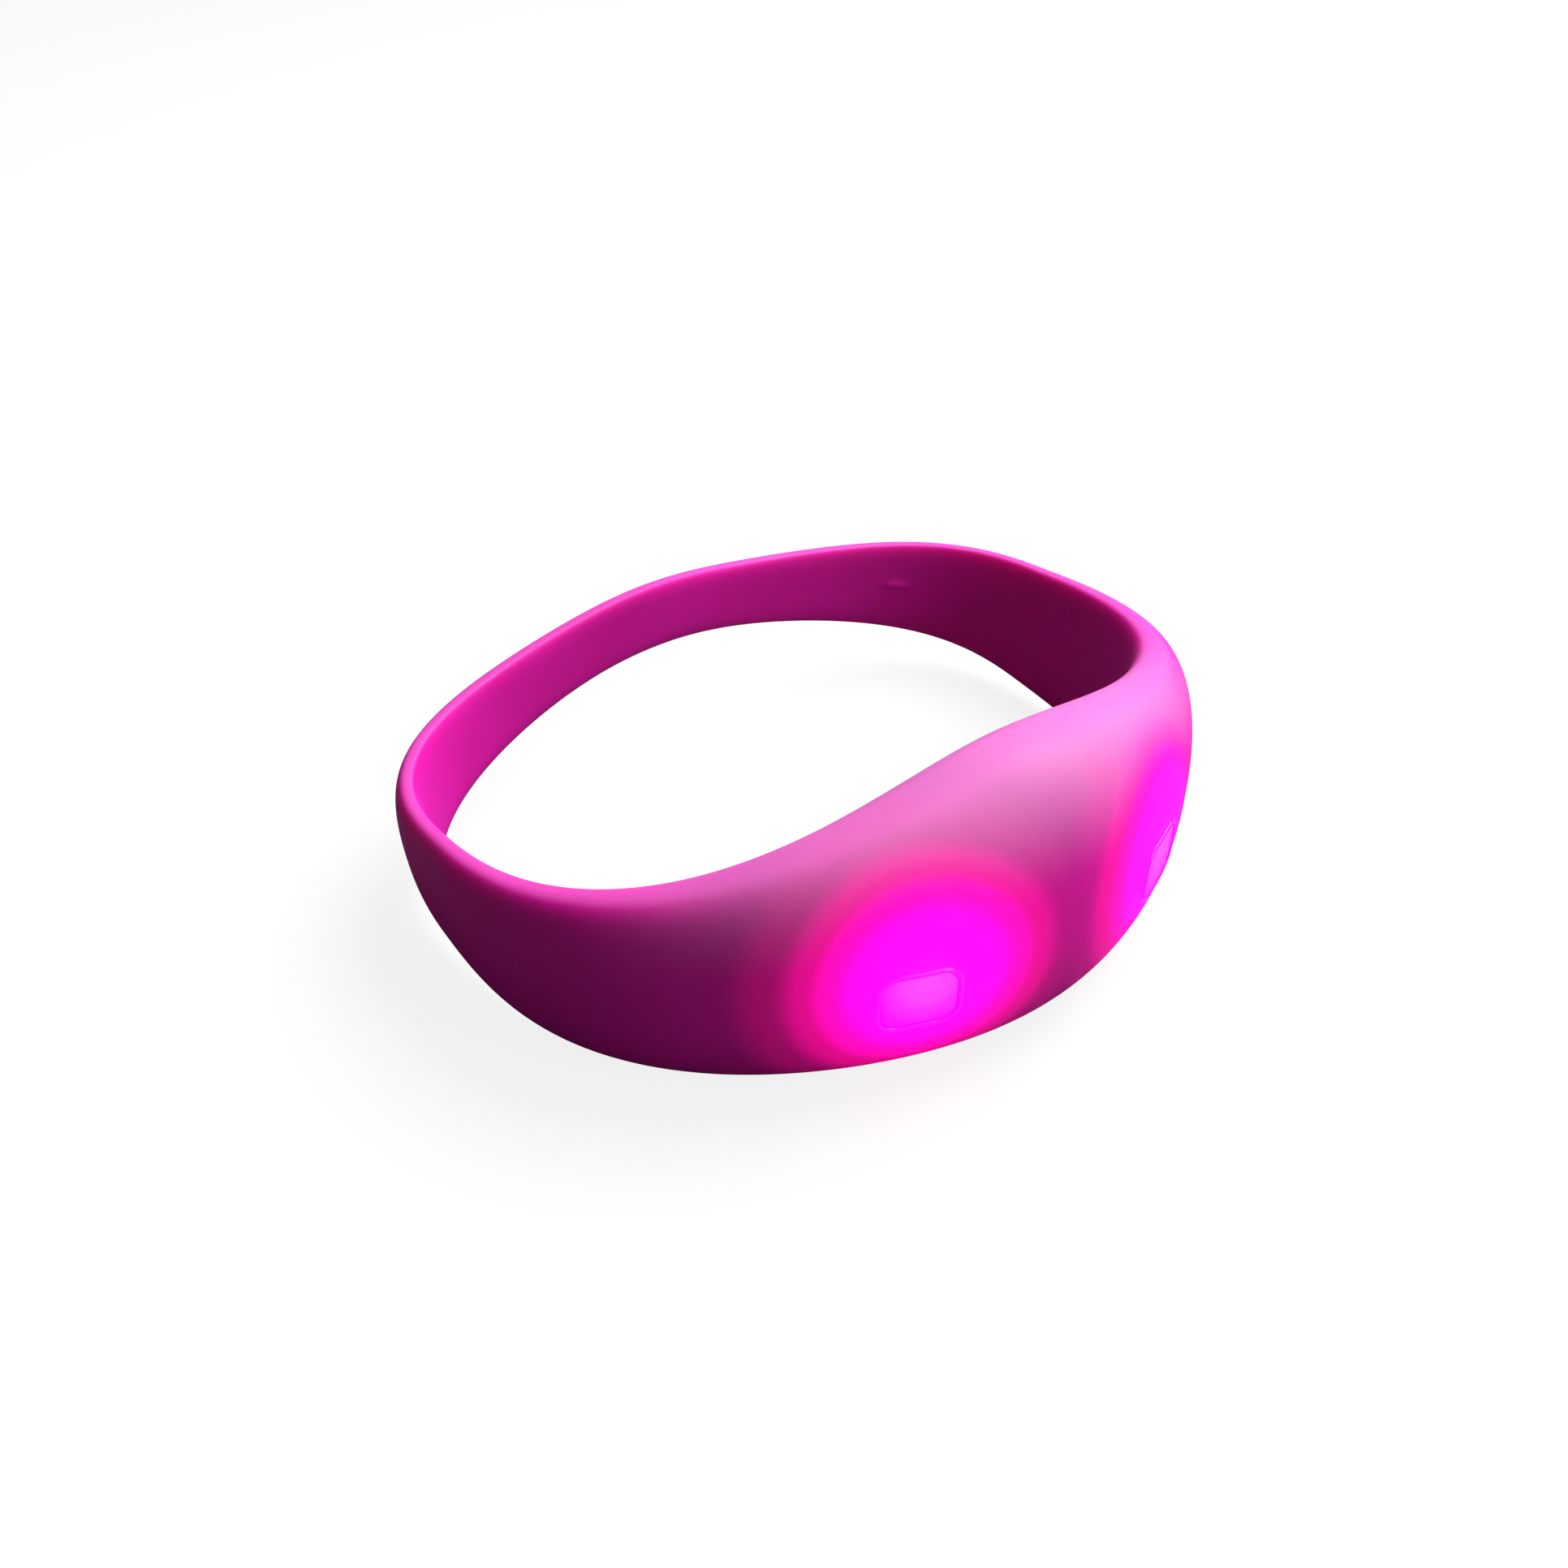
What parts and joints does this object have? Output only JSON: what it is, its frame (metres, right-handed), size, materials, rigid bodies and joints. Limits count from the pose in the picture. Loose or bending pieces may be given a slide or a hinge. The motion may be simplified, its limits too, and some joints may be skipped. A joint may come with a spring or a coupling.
{
  "type": "light-up bracelet",
  "caption": "Light-up silicone bracelet: a closed soft band whose front swells into a pod that holds a sealed capsule with two lights and a push switch.",
  "frame": {"origin": "middle of the bounding box, at the level of the surface that it stands on", "axes": "+Z along the axis of the wrist loop, -Y out of the front of the pod, +X across the pod to the wearer's right-hand window"},
  "size_m": [0.081, 0.0672, 0.028],
  "materials": {
    "band_silicone": "satin",
    "capsule_plastic": "satin",
    "cover_plastic": "matt",
    "gasket_rubber": "matt",
    "screw_steel": "satin",
    "lens_plastic": "gloss",
    "board_laminate": "satin",
    "diode_ceramic": "satin",
    "chip_epoxy": "matt",
    "tinned_metal": "satin",
    "resistor_ceramic": "matt",
    "capacitor_ceramic": "matt",
    "switch_plastic": "matt",
    "switch_metal": "satin",
    "stem_plastic": "satin",
    "plunger_plastic": "satin",
    "holder_plastic": "matt",
    "contact_metal": "satin",
    "cell_steel": "satin",
    "seal_plastic": "matt"
  },
  "bodies": {
    "band": {"silicone_band": "band_silicone"},
    "capsule": {"bridge_contact": "contact_metal", "capsule_shell": "capsule_plastic", "cell_holder": "holder_plastic", "circuit_board": "board_laminate", "controller_chip": "chip_epoxy", "controller_leads": "tinned_metal", "cover_gasket": "gasket_rubber", "cover_screws": "screw_steel", "left_board_contact": "contact_metal", "left_cell_can": "cell_steel", "left_cell_cap": "cell_steel", "left_cell_seal": "seal_plastic", "left_light_diode": "diode_ceramic", "left_light_lens": "lens_plastic", "light_resistors": "resistor_ceramic", "rear_cover": "cover_plastic", "right_board_contact": "contact_metal", "right_cell_can": "cell_steel", "right_cell_cap": "cell_steel", "right_cell_seal": "seal_plastic", "right_light_diode": "diode_ceramic", "right_light_lens": "lens_plastic", "supply_capacitor": "capacitor_ceramic", "switch_housing": "switch_plastic", "switch_plate": "switch_metal", "switch_terminals": "tinned_metal"},
    "button": {"button_plunger": "plunger_plastic", "switch_stem": "stem_plastic"}
  },
  "joints": [
    {"name": "capsule_slide", "type": "slide", "parent": "band", "child": "capsule", "axis": [0, 1, 0], "range_m": [0, 0.014]},
    {"name": "button_press", "type": "slide", "parent": "capsule", "child": "button", "axis": [0, 1, 0], "range_m": [0, 0.0004], "stiffness_N_per_m": 1500}
  ]
}
